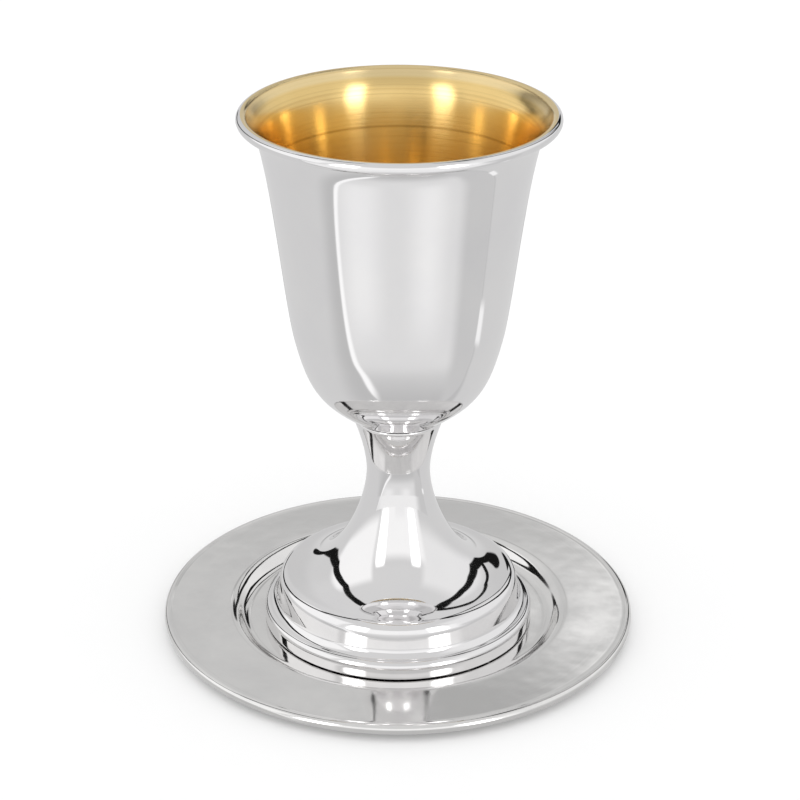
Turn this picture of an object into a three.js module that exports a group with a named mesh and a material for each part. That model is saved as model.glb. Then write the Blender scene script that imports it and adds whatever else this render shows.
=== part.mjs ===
// A silver kiddush cup standing in the well of its own saucer.
// Three pieces spun from sheet: the bowl, the foot with its stem, and the saucer.
// Millimetres, +Z up. The origin is on the table, under the middle of the saucer.

import * as THREE from 'three';

// Driving dimensions
const sheet = 0.8; // thickness of the spun silver
const fitGap = 0.3; // clearance where one piece sits on the next
const facets = 44; // flats round each piece

const saucerRadius = 62.4; // over the rolled edge
const saucerEdgeTube = 1.35; // radius of the rolled edge
const saucerEdgeHeight = 2.92; // middle of the rolled edge
const brimTop = 4.1; // upper face of the flat brim
const wellLipRadius = 45.2; // where the brim begins to turn down
const wellFloorRadius = 39.2; // flat floor of the well

const footBaseRadius = 35.6; // upright side of the base ring
const footBaseRound = 1.9; // rounding of its upper edge
const footHeel = 0.3; // rounding of its lower edge
const creaseRadius = 33.7; // where the dome meets the base ring
const creaseHeight = 4.75; // above the bottom of the foot
const domeRadius = 32.2; // widest place of the dome
const domeHeight = 6.4; // of that place above the bottom of the foot
const domeLean = 9; // degrees that the side of the dome leans in
const domeSide = 4.2; // length of the leaning side
const domeShoulder = 3.3; // rounding over the top of the dome
const waistRadius = 8.25; // thinnest place of the stem
const waistHeight = 44;
const stemTopRadius = 11.9;

const rimRadius = 40; // over the rolled rim
const rimTube = 1.4;
const rimHeight = 139.6; // middle of the rolled rim
const bowlBase = 59.6; // flat underside that the stem carries
const bowlBaseRadius = 12.2;

const silver = { color: '#dcdcdd', roughness: 0.08, metalness: 1 };

const deg = THREE.MathUtils.degToRad;
const at = (r, z) => new THREE.Vector2(r, z);

// Points of a round stretch, angles in degrees from +R towards +Z.
function arc(centre, radius, fromAngle, toAngle, steps) {
  return Array.from({ length: steps + 1 }, (unused, i) => {
    const angle = deg(fromAngle + ((toAngle - fromAngle) * i) / steps);
    return at(centre.x + radius * Math.cos(angle), centre.y + radius * Math.sin(angle));
  });
}

// Points of a smooth sweep between two places, leaving and arriving towards the two pulls.
function sweep(start, firstPull, secondPull, end, steps) {
  return new THREE.CubicBezierCurve(start, firstPull, secondPull, end).getPoints(steps);
}

// Runs stretches together, leaving out a point that repeats the one before it.
function join(...stretches) {
  return stretches.flat().filter((point, i, all) => i === 0 || point.distanceTo(all[i - 1]) > 0.01);
}

// The other face of the sheet, to the left of the direction of travel.
function leftFace(points) {
  return points.map((point, i) => {
    const before = points[Math.max(i - 1, 0)];
    const after = points[Math.min(i + 1, points.length - 1)];
    const along = after.clone().sub(before).normalize();
    return at(point.x - along.y * sheet, point.y + along.x * sheet);
  });
}

// A solid of revolution about Z.
function spun(name, outline) {
  const geometry = new THREE.LatheGeometry(outline, facets);
  geometry.rotateX(Math.PI / 2);
  const mesh = new THREE.Mesh(geometry, new THREE.MeshStandardMaterial(silver));
  mesh.name = name;
  return mesh;
}

// The saucer: sunk well, flat brim and an edge rolled under.
function makeSaucer() {
  const floor = at(wellFloorRadius, sheet);
  const lip = at(wellLipRadius, brimTop);
  const wallMiddle = (wellFloorRadius + wellLipRadius) / 2;
  const wall = sweep(lip, at(wallMiddle, lip.y), at(wallMiddle, floor.y), floor, 5);
  const edge = at(saucerRadius - saucerEdgeTube, saucerEdgeHeight);
  const roll = arc(edge, saucerEdgeTube, -172, 118, 7);
  const under = wall.map((point) => at(point.x + sheet / 2, point.y - sheet)).reverse();
  return spun('saucer', [at(0, 0), ...under, ...roll, ...wall, at(0, sheet)]);
}

// The foot: base ring, cove, the dome with its leaning side, and the flare up into the stem.
function makeFoot() {
  const bottom = sheet + fitGap;
  const crease = at(creaseRadius, bottom + creaseHeight);
  const ringMiddle = at(footBaseRadius - footBaseRound, crease.y - footBaseRound);
  const heelMiddle = at(footBaseRadius - footHeel, bottom + footHeel);
  const heel = arc(heelMiddle, footHeel, -90, 0, 2);
  const side = at(domeRadius, bottom + domeHeight);
  const cove = sweep(crease, at(crease.x - 0.6, crease.y + 0.4), at(side.x + 0.25, side.y - 0.65), side, 3);
  const lean = deg(domeLean);
  const sideTop = at(side.x - domeSide * Math.sin(lean), side.y + domeSide * Math.cos(lean));
  const shoulderCentre = at(
    sideTop.x - domeShoulder * Math.cos(lean),
    sideTop.y - domeShoulder * Math.sin(lean),
  );
  const shoulder = arc(shoulderCentre, domeShoulder, domeLean, 82, 4);
  const flareStart = shoulder[shoulder.length - 1];
  const waist = at(waistRadius, waistHeight);
  const flare = sweep(flareStart, at(16.4, flareStart.y + 0.6), at(waistRadius, 33.5), waist, 8);
  const stemTop = at(stemTopRadius, bowlBase - fitGap);
  const neck = sweep(waist, at(waistRadius, waistHeight + 4.5), at(10.2, stemTop.y - 3.9), stemTop, 4);
  const outer = join(arc(ringMiddle, footBaseRound, 0, 90, 3), cove, shoulder, flare, neck);
  const cutFlat = (point) => at(point.x, Math.min(point.y, stemTop.y));
  const inner = leftFace(outer).map(cutFlat).reverse();
  const hem = at(footBaseRadius - sheet, bottom);
  return spun('foot', [hem, ...heel, ...outer, ...inner, hem.clone()]);
}

// The bowl: flat base, round belly, a straight-sided flare and the rolled rim.
function makeBowl() {
  const base = at(bowlBaseRadius, bowlBase);
  const belly = at(26.9, 83);
  const shoulder = at(34.6, 133.2);
  const rim = at(rimRadius - rimTube, rimHeight);
  const roll = arc(rim, rimTube, 215, 525, 9);
  const side = join(
    sweep(base, at(21.2, bowlBase + 6.8), at(23.3, bowlBase + 8), belly, 6),
    sweep(belly, at(29.3, 95.5), at(31, 118), shoulder, 5),
    sweep(shoulder, at(35.2, 135.6), at(36, 137.2), roll[0], 3),
  );
  const inside = leftFace(side.slice(0, -1)).reverse();
  return spun('bowl', [at(0, bowlBase), ...side, ...roll.slice(1), ...inside, at(0, bowlBase + sheet)]);
}

const cup = new THREE.Group();
cup.add(makeSaucer(), makeFoot(), makeBowl());

export default cup;
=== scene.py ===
import math

import bpy
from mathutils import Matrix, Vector


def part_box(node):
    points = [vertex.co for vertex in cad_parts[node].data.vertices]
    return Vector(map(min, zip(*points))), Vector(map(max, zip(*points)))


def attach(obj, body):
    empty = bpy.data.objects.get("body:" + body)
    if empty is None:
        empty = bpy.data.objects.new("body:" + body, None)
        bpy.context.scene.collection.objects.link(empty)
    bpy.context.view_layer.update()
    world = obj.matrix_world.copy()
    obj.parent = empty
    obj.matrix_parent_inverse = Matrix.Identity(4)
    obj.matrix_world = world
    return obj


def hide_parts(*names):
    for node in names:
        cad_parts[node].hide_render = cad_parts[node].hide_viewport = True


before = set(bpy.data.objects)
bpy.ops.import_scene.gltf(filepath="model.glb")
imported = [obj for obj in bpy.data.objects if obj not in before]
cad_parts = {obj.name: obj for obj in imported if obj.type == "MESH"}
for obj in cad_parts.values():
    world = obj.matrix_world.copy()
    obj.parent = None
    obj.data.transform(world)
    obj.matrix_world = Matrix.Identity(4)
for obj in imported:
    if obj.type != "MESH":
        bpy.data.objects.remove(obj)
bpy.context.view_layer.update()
mm = 0.001


def toLinear(hexColour):
    # sRGB hex to the linear values that the shaders take
    channels = [int(hexColour[i:i + 2], 16) / 255 for i in (1, 3, 5)]
    return tuple(c / 12.92 if c <= 0.04045 else ((c + 0.055) / 1.055) ** 2.4 for c in channels) + (1.0,)


def addNode(tree, kind, settings=None, inputs=None):
    # one node with its settings; an input gets a value, a socket or another node's first output
    node = tree.nodes.new(kind)
    for name, value in (settings or {}).items():
        setattr(node, name, value)
    for key, value in (inputs or {}).items():
        if isinstance(value, bpy.types.Node):
            value = value.outputs[0]
        if isinstance(value, bpy.types.NodeSocket):
            tree.links.new(value, node.inputs[key])
        else:
            node.inputs[key].default_value = value
    return node


def newMaterial(name):
    material = bpy.data.materials.new(name)
    material.use_nodes = True
    material.node_tree.nodes.clear()
    return material, material.node_tree


def arc(centre, radius, fromAngle, toAngle, steps):
    # a round stretch of an outline, angles in degrees from outwards towards up
    points = []
    for i in range(steps + 1):
        angle = math.radians(fromAngle + (toAngle - fromAngle) * i / steps)
        points.append((centre[0] + radius * math.cos(angle), centre[1] + radius * math.sin(angle)))
    return points


def sweep(start, firstPull, secondPull, end, steps):
    # a smooth stretch that leaves and arrives towards its two pulls
    points = []
    for i in range(steps + 1):
        t = i / steps
        weights = ((1 - t) ** 3, 3 * t * (1 - t) ** 2, 3 * t * t * (1 - t), t ** 3)
        corners = (start, firstPull, secondPull, end)
        points.append(tuple(sum(w * p[k] for w, p in zip(weights, corners)) for k in (0, 1)))
    return points


lathe = {
    "around": 96,  # sides of a turned piece before it is smoothed
    "closest": 0.02,  # mm between two points of an outline
    "weld": 0.002,  # mm, points nearer than this are one
}


def join(*stretches):
    # runs stretches together without doubled points
    outline = []
    for point in [p for stretch in stretches for p in stretch]:
        if not outline or math.dist(point, outline[-1]) > lathe["closest"]:
            outline.append(point)
    return outline


def leftFace(points, thickness):
    # the other face of the sheet, to the left of the direction of travel
    moved = []
    for i, (r, z) in enumerate(points):
        before, after = points[max(i - 1, 0)], points[min(i + 1, len(points) - 1)]
        length = math.dist(before, after)
        alongR, alongZ = (after[0] - before[0]) / length, (after[1] - before[1]) / length
        moved.append((r - alongZ * thickness, z + alongR * thickness))
    return moved


def spunPiece(name, outline, closed):
    # lathe work: a disc is cut at the first radius, and its edge is drawn out and scaled, ring
    # after ring, along the outline in millimetres; a closed outline comes back to its first ring
    bpy.ops.object.select_all(action="DESELECT")
    firstRadius, firstHeight = outline[0]
    bpy.ops.mesh.primitive_circle_add(
        vertices=lathe["around"], radius=firstRadius * mm, location=(0, 0, firstHeight * mm),
        fill_type="NOTHING" if closed else "TRIFAN")
    piece = bpy.context.object
    piece.name = piece.data.name = name
    bpy.ops.object.transform_apply(location=True, rotation=True, scale=True)
    bpy.ops.object.mode_set(mode="EDIT")
    bpy.ops.mesh.select_mode(type="EDGE")
    bpy.ops.mesh.select_all(action="SELECT")
    if not closed:
        bpy.ops.mesh.region_to_loop()
    rings = outline[1:] + ([outline[0]] if closed else [])
    lastRadius, lastHeight = firstRadius, firstHeight
    for radius, height in rings:
        scale = radius / lastRadius
        rise = (0, 0, (height - lastHeight) * mm)
        bpy.ops.mesh.extrude_region_move(TRANSFORM_OT_translate={"value": rise})
        bpy.ops.transform.resize(value=(scale, scale, 1), center_override=(0, 0, height * mm))
        lastRadius, lastHeight = radius, height
    if not closed:
        bpy.ops.mesh.edge_face_add()
        bpy.ops.mesh.poke()
    bpy.ops.mesh.select_all(action="SELECT")
    bpy.ops.mesh.remove_doubles(threshold=lathe["weld"] * mm)
    bpy.ops.mesh.normals_make_consistent(inside=False)
    bpy.ops.object.mode_set(mode="OBJECT")
    bpy.ops.object.modifier_add(type="SUBSURF")
    piece.modifiers[-1].levels = piece.modifiers[-1].render_levels = 1
    bpy.ops.object.modifier_apply(modifier=piece.modifiers[-1].name)
    bpy.ops.object.shade_smooth()
    return piece


viewpoint = {
    "distance": 543.9,  # mm, level distance from the axis
    "height": 317.1,  # mm
    "tilt": 25.01,  # degrees down
    "roll": 0.16,
    "lens": 104.85,  # mm
    "sensor": 36,  # mm
    "shiftX": 0.0018,
    "nearest": 0.01,  # m, what is nearer or farther isn't drawn
    "farthest": 50,
}


def makeCamera():
    bpy.ops.object.camera_add(location=(0, -viewpoint["distance"] * mm, viewpoint["height"] * mm))
    camera = bpy.context.object
    camera.rotation_mode = "ZYX"  # the roll comes first, about the line of sight
    camera.rotation_euler = (math.radians(90 - viewpoint["tilt"]), 0, math.radians(viewpoint["roll"]))
    camera.name = "productCamera"
    camera.data.lens = viewpoint["lens"]
    camera.data.sensor_width = viewpoint["sensor"]
    camera.data.shift_x = viewpoint["shiftX"]
    camera.data.clip_start = viewpoint["nearest"]
    camera.data.clip_end = viewpoint["farthest"]
    bpy.context.scene.camera = camera


makeCamera()
print("camera placed")


def placeInMm(tree):
    coords = addNode(tree, "ShaderNodeTexCoord")
    return addNode(tree, "ShaderNodeVectorMath", {"operation": "SCALE"}, {
        0: coords.outputs["Object"], "Scale": 1 / mm})


def placeOnLathe(tree, place):
    # radius and height, so that a pattern on them runs round the piece as turning lines do
    parts = addNode(tree, "ShaderNodeSeparateXYZ", inputs={"Vector": place})
    level = addNode(tree, "ShaderNodeCombineXYZ", inputs={"X": parts.outputs["X"], "Y": parts.outputs["Y"]})
    radius = addNode(tree, "ShaderNodeVectorMath", {"operation": "LENGTH"}, {0: level}).outputs["Value"]
    return addNode(tree, "ShaderNodeCombineXYZ", inputs={"X": radius, "Y": parts.outputs["Z"]})


noiseSpread = (0.35, 0.65)  # most values of a noise lie between these

cupSilver = {
    "bright": "#F1F0EF",
    "dull": "#E7E6E8",
    "roughness": (0.025, 0.065),
    "hazeSize": 21.0,  # mm, width of the duller and brighter patches
    "rippleSize": 13.0,  # mm, waves left by the buffing wheel
    "rippleHeight": 0.004,  # mm
    "lineSize": 0.7,  # mm between turning lines; the real ones are too fine to show
    "lineHeight": 0.0005,  # mm
}

# the flat brim was rubbed more by hand, so its waves and haze are stronger
saucerSilver = dict(
    cupSilver, bright="#F4F3F1", dull="#DCDBDB", roughness=(0.03, 0.12), hazeSize=14.0,
    rippleSize=7.0, rippleHeight=0.034, lineHeight=0.0016)


def makeSilver(name, finish):
    # sterling silver, spun on a lathe and buffed to a mirror: white metal that shows the room,
    # with soft waves from the buffing wheel, a thin haze where cloths rubbed it and the last
    # trace of the turning lines
    material, tree = newMaterial(name)
    place = placeInMm(tree)
    turned = placeOnLathe(tree, place)
    haze = addNode(tree, "ShaderNodeTexNoise", inputs={
        "Vector": place, "Scale": 1 / finish["hazeSize"], "Detail": 4.0, "Roughness": 0.6})
    tone = addNode(tree, "ShaderNodeMix", {"data_type": "RGBA"}, {
        0: haze, 6: toLinear(finish["bright"]), 7: toLinear(finish["dull"])})
    blur = addNode(tree, "ShaderNodeMapRange", inputs={
        "Value": haze, "From Min": noiseSpread[0], "From Max": noiseSpread[1],
        "To Min": finish["roughness"][0], "To Max": finish["roughness"][1]})
    ripples = addNode(tree, "ShaderNodeTexNoise", inputs={
        "Vector": place, "Scale": 1 / finish["rippleSize"], "Detail": 1.0})
    waved = addNode(tree, "ShaderNodeBump", inputs={
        "Distance": finish["rippleHeight"] * mm, "Height": ripples})
    lines = addNode(tree, "ShaderNodeTexNoise", {"noise_dimensions": "2D"}, {
        "Vector": turned, "Scale": 1 / finish["lineSize"], "Detail": 2.0})
    lined = addNode(tree, "ShaderNodeBump", inputs={
        "Distance": finish["lineHeight"] * mm, "Height": lines, "Normal": waved})
    shader = addNode(tree, "ShaderNodeBsdfPrincipled", inputs={
        "Base Color": tone.outputs[2],
        "Metallic": 1.0,
        "Roughness": blur,
        "Normal": lined,
    })
    addNode(tree, "ShaderNodeOutputMaterial", inputs={"Surface": shader})
    return material


giltFinish = {
    "deep": "#EBCE8E",
    "worn": "#E2C382",
    "lip": "#EAD3A0",  # paler gold towards the top of the inside, mixed in by height at the lip
    "lipHeight": 138.6,  # mm
    "lipBlur": 0.5,  # mm
    "ring": "#A97F36",  # one deeper turning line below the lip
    "ringHeight": 126.5,  # mm
    "ringWidth": 0.5,  # mm
    "ringShare": 0.5,
    "groove": "#B58A41",  # what shows in the grooves of the turning lines
    "grooveLevels": (0.45, 0.3),  # of the noise, where a groove starts and is full
    "grooveShare": 0.2,
    "roughness": (0.17, 0.24),
    "streak": 0.8,  # how far the light is drawn out upwards
    "wearSize": 17.0,  # mm
    "lineSize": 0.6,  # mm between turning lines; the real ones are too fine to show
    "lineHeight": 0.008,  # mm
}


def makeGilt():
    # gold plate on the spun inside of the bowl: warm yellow, deeper where the gold mirrors
    # itself, with upright soft streaks of light across the fine rings of the spinning tool
    material, tree = newMaterial("spunGilding")
    place = placeInMm(tree)
    height = addNode(tree, "ShaderNodeSeparateXYZ", inputs={"Vector": place}).outputs["Z"]
    wear = addNode(tree, "ShaderNodeTexNoise", inputs={
        "Vector": place, "Scale": 1 / giltFinish["wearSize"], "Detail": 4.0})
    lipStart = giltFinish["lipHeight"] - giltFinish["lipBlur"]
    lipShare = addNode(tree, "ShaderNodeMapRange", {"interpolation_type": "SMOOTHSTEP"}, {
        "Value": height, "From Min": lipStart, "From Max": lipStart + 2 * giltFinish["lipBlur"]})
    above = addNode(tree, "ShaderNodeMath", {"operation": "SUBTRACT"}, {
        0: height, 1: giltFinish["ringHeight"]})
    fromRing = addNode(tree, "ShaderNodeMath", {"operation": "ABSOLUTE"}, {0: above})
    ringShare = addNode(tree, "ShaderNodeMapRange", {"interpolation_type": "SMOOTHSTEP"}, {
        "Value": fromRing, "From Min": 0.0, "From Max": giltFinish["ringWidth"],
        "To Min": giltFinish["ringShare"], "To Max": 0.0})
    lines = addNode(tree, "ShaderNodeTexNoise", {"noise_dimensions": "2D"}, {
        "Vector": placeOnLathe(tree, place), "Scale": 1 / giltFinish["lineSize"], "Detail": 2.0})
    grooveStart, grooveFull = giltFinish["grooveLevels"]
    grooveShare = addNode(tree, "ShaderNodeMapRange", inputs={
        "Value": lines, "From Min": grooveStart, "From Max": grooveFull,
        "To Min": 0.0, "To Max": giltFinish["grooveShare"]})
    tone = toLinear(giltFinish["deep"])
    for share, colour in ((wear, "worn"), (lipShare, "lip"), (ringShare, "ring"), (grooveShare, "groove")):
        layer = addNode(tree, "ShaderNodeMix", {"data_type": "RGBA"}, {
            0: share, 6: tone, 7: toLinear(giltFinish[colour])})
        tone = layer.outputs[2]
    blur = addNode(tree, "ShaderNodeMapRange", inputs={
        "Value": wear, "From Min": noiseSpread[0], "From Max": noiseSpread[1],
        "To Min": giltFinish["roughness"][0], "To Max": giltFinish["roughness"][1]})
    lined = addNode(tree, "ShaderNodeBump", inputs={
        "Distance": giltFinish["lineHeight"] * mm, "Height": lines})
    shader = addNode(tree, "ShaderNodeBsdfPrincipled", inputs={
        "Base Color": tone,
        "Metallic": 1.0,
        "Roughness": blur,
        "Normal": lined,
        "Anisotropic": giltFinish["streak"],
        "Anisotropic Rotation": 0.25,  # a quarter turn, so that the streaks stand upright
    })
    addNode(tree, "ShaderNodeOutputMaterial", inputs={"Surface": shader})
    return material


cupMirror = makeSilver("buffedSilver", cupSilver)
saucerMirror = makeSilver("handPolishedSilver", saucerSilver)
gilt = makeGilt()
print("finishes mixed")


saucerShape = {
    "sheet": 0.8,
    "edgeTube": 1.35,  # radius of the rolled edge
    "edgeHeight": 2.92,
    "edgeAngles": (-172, 118),  # degrees, from the sheet's lower face round to its upper face
    "brimTop": 4.1,
    "lipRadius": 45.2,  # where the brim turns down into the well
    "floorRadius": 39.2,
    "brimRings": (0.97, 0.66, 0.33, 0.03),  # shares of the way from the lip to the rolled edge
    "floorRings": (0.97, 0.8, 0.6, 0.4, 0.2),  # shares of the floor's radius
    "underRings": (0.2, 0.6, 0.97),
}


def makeSaucer():
    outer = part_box("saucer")[1].x / mm
    sheet = saucerShape["sheet"]
    floor = (saucerShape["floorRadius"], sheet)
    lip = (saucerShape["lipRadius"], saucerShape["brimTop"])
    middle = (floor[0] + lip[0]) / 2
    wall = sweep(lip, (middle, lip[1]), (middle, floor[1]), floor, steps=14)
    edge = (outer - saucerShape["edgeTube"], saucerShape["edgeHeight"])
    roll = arc(edge, saucerShape["edgeTube"], *saucerShape["edgeAngles"], steps=18)
    under = [(r + sheet / 2, z - sheet) for r, z in reversed(wall)]
    brim = [(lip[0] + (roll[-1][0] - lip[0]) * t, lip[1]) for t in saucerShape["brimRings"]]
    floorRings = [(floor[0] * t, sheet) for t in saucerShape["floorRings"]]
    underRings = [(floor[0] * t, 0) for t in saucerShape["underRings"]]
    outline = join(underRings, under, roll, brim, wall, floorRings)
    saucer = spunPiece("spunSaucer", outline, closed=False)
    saucer.data.materials.append(saucerMirror)
    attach(saucer, "root")
    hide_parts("saucer")


makeSaucer()
print("saucer spun")


footShape = {
    "sheet": 0.8,
    "baseRound": 1.9,  # rounding of the base ring's upper edge
    "heel": 0.3,  # rounding of its lower edge
    "creaseRadius": 33.7,  # where the dome meets the base ring
    "creaseHeight": 4.75,  # above the bottom of the foot
    "covePulls": ((-0.6, 0.4), (0.25, -0.65)),  # from the crease and from the dome's side
    "domeRadius": 32.2,
    "domeHeight": 6.4,  # of the dome's widest place above the bottom of the foot
    "domeLean": 9.0,  # degrees that the side of the dome leans in
    "domeSide": 4.2,
    "domeShoulder": 3.3,
    "shoulderEnd": 82,  # degrees, where the shoulder meets the flare of the stem
    "flarePull": (16.4, 0.6),  # radius, and height above the shoulder
    "waistRadius": 8.25,
    "waistHeight": 44.0,
    "waistPulls": (10.5, 4.5),  # below and above the waist
    "neckPull": (10.2, 3.9),  # radius, and depth below the top
    "stemTopRadius": 11.9,
}


def makeFoot():
    low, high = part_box("foot")
    bottom, top = low.z / mm, high.z / mm
    widest = high.x / mm
    crease = (footShape["creaseRadius"], bottom + footShape["creaseHeight"])
    baseRound, heelRound = footShape["baseRound"], footShape["heel"]
    heel = arc((widest - heelRound, bottom + heelRound), heelRound, -90, 0, steps=4)
    ring = arc((widest - baseRound, crease[1] - baseRound), baseRound, 0, 90, steps=10)
    side = (footShape["domeRadius"], bottom + footShape["domeHeight"])
    (firstR, firstZ), (secondR, secondZ) = footShape["covePulls"]
    firstPull = (crease[0] + firstR, crease[1] + firstZ)
    secondPull = (side[0] + secondR, side[1] + secondZ)
    cove = sweep(crease, firstPull, secondPull, side, steps=6)
    lean = math.radians(footShape["domeLean"])
    reach, bend = footShape["domeSide"], footShape["domeShoulder"]
    sideTop = (side[0] - reach * math.sin(lean), side[1] + reach * math.cos(lean))
    shoulderCentre = (sideTop[0] - bend * math.cos(lean), sideTop[1] - bend * math.sin(lean))
    shoulder = arc(shoulderCentre, bend, footShape["domeLean"], footShape["shoulderEnd"], steps=10)
    waist = (footShape["waistRadius"], footShape["waistHeight"])
    belowWaist, aboveWaist = footShape["waistPulls"]
    flareRadius, flareRise = footShape["flarePull"]
    flareStart = (flareRadius, shoulder[-1][1] + flareRise)
    flare = sweep(shoulder[-1], flareStart, (waist[0], waist[1] - belowWaist), waist, steps=26)
    neckRadius, neckDrop = footShape["neckPull"]
    stemTop = (footShape["stemTopRadius"], top)
    neck = sweep(waist, (waist[0], waist[1] + aboveWaist), (neckRadius, top - neckDrop), stemTop, steps=12)
    outer = join(ring, cove, shoulder, flare, neck)
    inner = [(r, min(z, top)) for r, z in reversed(leftFace(outer, footShape["sheet"]))]
    hem = (widest - footShape["sheet"], bottom)
    foot = spunPiece("spunFoot", join([hem], heel, outer, inner), closed=True)
    foot.data.materials.append(cupMirror)
    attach(foot, "root")
    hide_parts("foot")


makeFoot()
print("foot spun")


bowlShape = {
    "sheet": 0.8,
    "rimTube": 1.4,  # radius of the rolled rim
    "rimAngles": (215, 525),  # degrees, from the sheet's outer face round to its inner face
    "baseRadius": 12.2,
    "basePulls": ((21.2, 6.8), (23.3, 8.0)),  # radius, and height above the base
    "belly": (26.9, 83.0),
    "bellyPulls": ((29.3, 95.5), (31.0, 118.0)),
    "shoulder": (34.6, 133.2),  # where the side starts to flare
    "shoulderPulls": ((35.2, 135.6), (36.0, 137.2)),
    "baseRings": (0.3, 0.7, 0.95),  # shares of the base's radius
    "bottomRings": (0.95, 0.7, 0.4, 0.2),
    "giltEdge": 0.2,  # from the middle of the rolled rim outwards to where the gilding ends
}


def makeBowl():
    low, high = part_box("bowl")
    sheet = bowlShape["sheet"]
    base = (bowlShape["baseRadius"], low.z / mm)
    basePulls = [(r, base[1] + z) for r, z in bowlShape["basePulls"]]
    belly, shoulder = bowlShape["belly"], bowlShape["shoulder"]
    rim = (high.x / mm - bowlShape["rimTube"], high.z / mm - bowlShape["rimTube"])
    roll = arc(rim, bowlShape["rimTube"], *bowlShape["rimAngles"], steps=20)
    side = join(
        sweep(base, *basePulls, belly, steps=18),
        sweep(belly, *bowlShape["bellyPulls"], shoulder, steps=16),
        sweep(shoulder, *bowlShape["shoulderPulls"], roll[0], steps=6))
    inside = list(reversed(leftFace(side[:-1], sheet)))
    baseRings = [(base[0] * t, base[1]) for t in bowlShape["baseRings"]]
    bottomRings = [(inside[-1][0] * t, base[1] + sheet) for t in bowlShape["bottomRings"]]
    outline = join(baseRings, side, roll, inside, bottomRings)
    bowl = spunPiece("spunBowl", outline, closed=False)
    bowl.data.materials.append(cupMirror)
    bowl.data.materials.append(gilt)
    for face in bowl.data.polygons:
        # the gilding covers what looks inwards or up, inside the rim
        spot = face.center / mm
        outwards = face.normal.x * spot.x + face.normal.y * spot.y
        withinRim = math.hypot(spot.x, spot.y) < rim[0] + bowlShape["giltEdge"]
        aboveBase = spot.z > base[1] + sheet / 2
        if aboveBase and withinRim and (outwards < 0 or face.normal.z > 0.5):
            face.material_index = 1
    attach(bowl, "root")
    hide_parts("bowl")


makeBowl()
print("bowl spun")


# brightness of what the polished silver mirrors; azimuth 0 lies in front of the cup and grows
# to the right, elevation grows upwards, both in degrees: centre and half width of each panel
lightTent = {
    "plain": 0.72,
    "diffuseLight": 1.16,  # what lights the paper
    "panels": (
        {"brightness": 0.76, "azimuth": (0, 180), "elevation": (65, 27), "blur": 8},  # roof
        {"brightness": 1.08, "azimuth": (-88, 34), "elevation": (28, 24), "blur": 5},  # left side
        {"brightness": 0.93, "azimuth": (98, 46), "elevation": (34, 24), "blur": 8},  # right side
        {"brightness": 0.66, "azimuth": (180, 26), "elevation": (22, 15), "blur": 8},  # back
        # three small patches that only the flat brim of the saucer mirrors
        {"brightness": 0.48, "azimuth": (175.5, 4.5), "elevation": (33.4, 2.4), "blur": 1.0},
        {"brightness": 0.56, "azimuth": (180, 9), "elevation": (27.4, 0.8), "blur": 0.7},
        {"brightness": 0.95, "azimuth": (174.6, 1.5), "elevation": (30.3, 1.0), "blur": 1.0},
        {"brightness": 1.07, "azimuth": (4, 54), "elevation": (0, 34), "blur": 5},  # front
        {"brightness": 1.0, "azimuth": (5, 14), "elevation": (0, 6), "blur": 5},  # its dimmer middle
        {"brightness": 4.2, "azimuth": (-38, 7.5), "elevation": (20, 18), "blur": 4},  # lamps
        {"brightness": 4.2, "azimuth": (38, 7.5), "elevation": (20, 18), "blur": 4},
    ),
    "gaps": (  # dark gaps in the cloth, each a line of (azimuth, elevation) with its half width
        {"width": 3.4, "line": ((-160, 3), (-150, 0), (-135, 8), (-120, 22), (-110, 40), (-105, 50),
                                (-125, 65), (-150, 68))},
        {"width": 4.0, "line": ((164, 22), (160, 13), (150, 11), (138, 20), (131, 34), (129, 50),
                                (140, 61), (160, 60))},
        {"width": 1.6, "line": ((150, 11), (150, 22), (153, 36), (166, 42), (160, 60))},
    ),
    "gapBrightness": 0.01,
    "gapBlur": 0.15,  # share of the half width
}


def paintOver(tree, below, brightness, edges):
    # lays a brightness over what is below, inside soft edges: each is a value, and where it
    # starts and ends to let the new brightness through
    share = 1.0
    for value, start, end in edges:
        step = addNode(tree, "ShaderNodeMapRange", {"interpolation_type": "SMOOTHSTEP"}, {
            "Value": value, "From Min": min(start, end), "From Max": max(start, end),
            "To Min": float(start > end), "To Max": float(start < end)})
        share = addNode(tree, "ShaderNodeMath", {"operation": "MULTIPLY"}, {0: share, 1: step})
    return addNode(tree, "ShaderNodeMix", {"data_type": "FLOAT"}, {
        "Factor": share, "A": below, "B": brightness})


def azimuthOf(tree, spot):
    # degrees round the cup's axis, 0 in front, right positive
    parts = addNode(tree, "ShaderNodeSeparateXYZ", inputs={"Vector": spot})
    away = addNode(tree, "ShaderNodeMath", {"operation": "MULTIPLY"}, {0: parts.outputs["Y"], 1: -1.0})
    turn = addNode(tree, "ShaderNodeMath", {"operation": "ARCTAN2"}, {0: parts.outputs["X"], 1: away})
    return addNode(tree, "ShaderNodeMath", {"operation": "DEGREES"}, {0: turn})


def panelEdges(tree, azimuth, elevation, panel):
    centre, halfWidth = panel["azimuth"]
    turned = addNode(tree, "ShaderNodeMath", {"operation": "SUBTRACT"}, {0: azimuth, 1: centre})
    across = addNode(tree, "ShaderNodeMath", {"operation": "PINGPONG"}, {0: turned, 1: 180.0})
    middle, halfHeight = panel["elevation"]
    lifted = addNode(tree, "ShaderNodeMath", {"operation": "SUBTRACT"}, {0: elevation, 1: middle})
    away = addNode(tree, "ShaderNodeMath", {"operation": "ABSOLUTE"}, {0: lifted})
    blur = panel["blur"]
    return ((across, halfWidth + blur, halfWidth - blur), (away, halfHeight + blur, halfHeight - blur))


def aim(azimuth, elevation):
    level = math.cos(math.radians(elevation))
    return Vector((level * math.sin(math.radians(azimuth)), -level * math.cos(math.radians(azimuth)),
                   math.sin(math.radians(elevation))))


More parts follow.
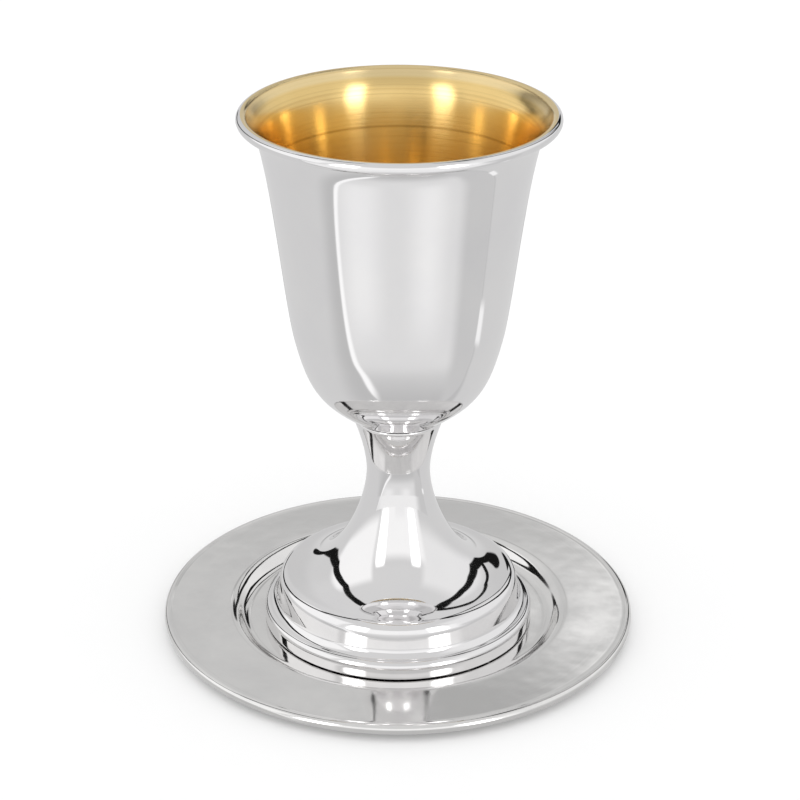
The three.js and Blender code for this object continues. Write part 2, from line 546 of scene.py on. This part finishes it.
def distanceToLine(tree, spot, corners):
    # how far a direction lies from a line through the corners
    nearest = 9.0  # farther than two directions can be
    for start, end in zip(corners, corners[1:]):
        along = end - start
        reach = addNode(tree, "ShaderNodeVectorMath", {"operation": "SUBTRACT"}, {0: spot, 1: start})
        share = addNode(tree, "ShaderNodeVectorMath", {"operation": "DOT_PRODUCT"}, {
            0: reach, 1: along / along.length_squared}).outputs["Value"]
        share = addNode(tree, "ShaderNodeMath", {"operation": "MULTIPLY", "use_clamp": True}, {
            0: share, 1: 1.0})
        foot = addNode(tree, "ShaderNodeVectorMath", {"operation": "SCALE"}, {0: along, "Scale": share})
        gap = addNode(tree, "ShaderNodeVectorMath", {"operation": "DISTANCE"}, {0: reach, 1: foot})
        nearest = addNode(tree, "ShaderNodeMath", {"operation": "MINIMUM"}, {
            0: nearest, 1: gap.outputs["Value"]})
    return nearest


def mixForMirrors(tree, seen, mirrored):
    # what the metal mirrors differs from what lights the paper and the camera sees
    rays = addNode(tree, "ShaderNodeLightPath")
    return addNode(tree, "ShaderNodeMixShader", inputs={
        0: rays.outputs["Is Glossy Ray"], 1: seen, 2: mirrored})


def makeLightTent():
    # soft cloth all round, with brighter panels and a few dark gaps, for the silver to mirror
    world = bpy.data.worlds.new("lightTent")
    bpy.context.scene.world = world
    world.use_nodes = True
    tree = world.node_tree
    tree.nodes.clear()
    direction = addNode(tree, "ShaderNodeTexCoord").outputs["Generated"]
    azimuth = azimuthOf(tree, direction)
    height = addNode(tree, "ShaderNodeSeparateXYZ", inputs={"Vector": direction}).outputs["Z"]
    slope = addNode(tree, "ShaderNodeMath", {"operation": "ARCSINE"}, {0: height})
    elevation = addNode(tree, "ShaderNodeMath", {"operation": "DEGREES"}, {0: slope})
    brightness = lightTent["plain"]
    for panel in lightTent["panels"]:
        edges = panelEdges(tree, azimuth, elevation, panel)
        brightness = paintOver(tree, brightness, panel["brightness"], edges)
    for gap in lightTent["gaps"]:
        width, blur = math.radians(gap["width"]), lightTent["gapBlur"]
        distance = distanceToLine(tree, direction, [aim(*corner) for corner in gap["line"]])
        edges = ((distance, width * (1 + blur), width * (1 - blur)),)
        brightness = paintOver(tree, brightness, lightTent["gapBrightness"], edges)
    plain = addNode(tree, "ShaderNodeBackground", inputs={
        "Color": (1, 1, 1, 1), "Strength": lightTent["diffuseLight"]})
    mirrored = addNode(tree, "ShaderNodeBackground", inputs={"Color": (1, 1, 1, 1), "Strength": brightness})
    addNode(tree, "ShaderNodeOutputWorld", inputs={"Surface": mixForMirrors(tree, plain, mirrored)})


# painted light and shade: brightness of the paper as the silver mirrors it; an edge names what
# is measured, and where it starts and ends to let the patch through: azimuth and aside (its size)
# in degrees, reach from the cup's axis and the distance in front of two lines in millimetres
paper = {
    "size": 6.0,  # m across
    "sides": 64,
    "colour": "#F4F4F4",
    "plain": 0.72,
    "leftLine": ((-48, -64), (-160, -103)),  # mm, where the painted front light ends on the paper
    "rightLine": ((80, -15), (200, -13)),
    "patches": (
        # painted shade beside the painted front light, the painted front light and its right end
        {"brightness": 0.59, "edges": (("left", -60, -8), ("right", -10, 0))},
        {"brightness": 0.84, "edges": (("left", -3, 1), ("right", -2, 2), ("reach", 62, 125))},
        {"brightness": 0.66, "edges": (("azimuth", 50, 64), ("left", -3, 1), ("right", -2, 2))},
        # two painted glows in it, and a painted bright line along its left edge
        {"brightness": 0.98, "edges": (("azimuth", -62, -36), ("azimuth", -6, -32), ("reach", 120, 175),
                                       ("left", -3, 1))},
        {"brightness": 0.98, "edges": (("azimuth", 0, 26), ("azimuth", 52, 26), ("reach", 120, 175))},
        {"brightness": 1.14, "edges": (("left", -1, 3), ("left", 15, 7), ("azimuth", -20, -34))},
        # painted light on the far paper in front, a painted narrow bright wedge on the right, and a painted
        # dim strip behind
        {"brightness": 1.0, "edges": (("reach", 215, 240), ("aside", 75, 50))},
        {"brightness": 1.05, "edges": (("right", -24, -14), ("right", 1, -3), ("azimuth", 80, 84),
                                       ("azimuth", 108, 98), ("reach", 138, 148), ("reach", 182, 170))},
        {"brightness": 0.40, "edges": (("aside", 157, 168), ("reach", 120, 160), ("reach", 340, 290))},
    ),
}


def pastLine(tree, spot, line):
    # mm in front of a line on the paper
    (startX, startY), (endX, endY) = line
    forwards = Vector((endY - startY, startX - endX, 0)).normalized()
    if forwards.y > 0:
        forwards = -forwards
    offset = addNode(tree, "ShaderNodeVectorMath", {"operation": "SUBTRACT"}, {
        0: spot, 1: (startX, startY, 0)})
    return addNode(tree, "ShaderNodeVectorMath", {"operation": "DOT_PRODUCT"}, {
        0: offset, 1: forwards}).outputs["Value"]


def makePaper():
    # white paper sweep, evenly lit for the camera; the silver mirrors it glowing with painted light,
    # brighter in front
    bpy.ops.object.select_all(action="DESELECT")
    bpy.ops.mesh.primitive_circle_add(vertices=paper["sides"], radius=paper["size"] / 2, fill_type="NGON")
    sheet = bpy.context.object
    sheet.name = "tableTop"
    material, tree = newMaterial("whitePaperSweepPaintedLight")
    spot = placeInMm(tree)
    azimuth = azimuthOf(tree, spot)
    values = {
        "azimuth": azimuth,
        "aside": addNode(tree, "ShaderNodeMath", {"operation": "ABSOLUTE"}, {0: azimuth}),
        "reach": addNode(tree, "ShaderNodeVectorMath", {"operation": "LENGTH"}, {0: spot}).outputs["Value"],
        "left": pastLine(tree, spot, paper["leftLine"]),
        "right": pastLine(tree, spot, paper["rightLine"]),
    }
    tone = paper["plain"]
    for patch in paper["patches"]:
        edges = [(values[name], start, end) for name, start, end in patch["edges"]]
        tone = paintOver(tree, tone, patch["brightness"], edges)
    lit = addNode(tree, "ShaderNodeBsdfDiffuse", inputs={"Color": toLinear(paper["colour"])})
    # painted light: in the silver's reflections the paper glows with the painted patches instead of being
    # lit
    mirrored = addNode(tree, "ShaderNodeEmission", inputs={"Strength": tone})
    addNode(tree, "ShaderNodeOutputMaterial", inputs={"Surface": mixForMirrors(tree, lit, mirrored)})
    sheet.data.materials.append(material)


makeLightTent()
makePaper()
bpy.context.scene.view_settings.view_transform = "Standard"
print("studio ready")
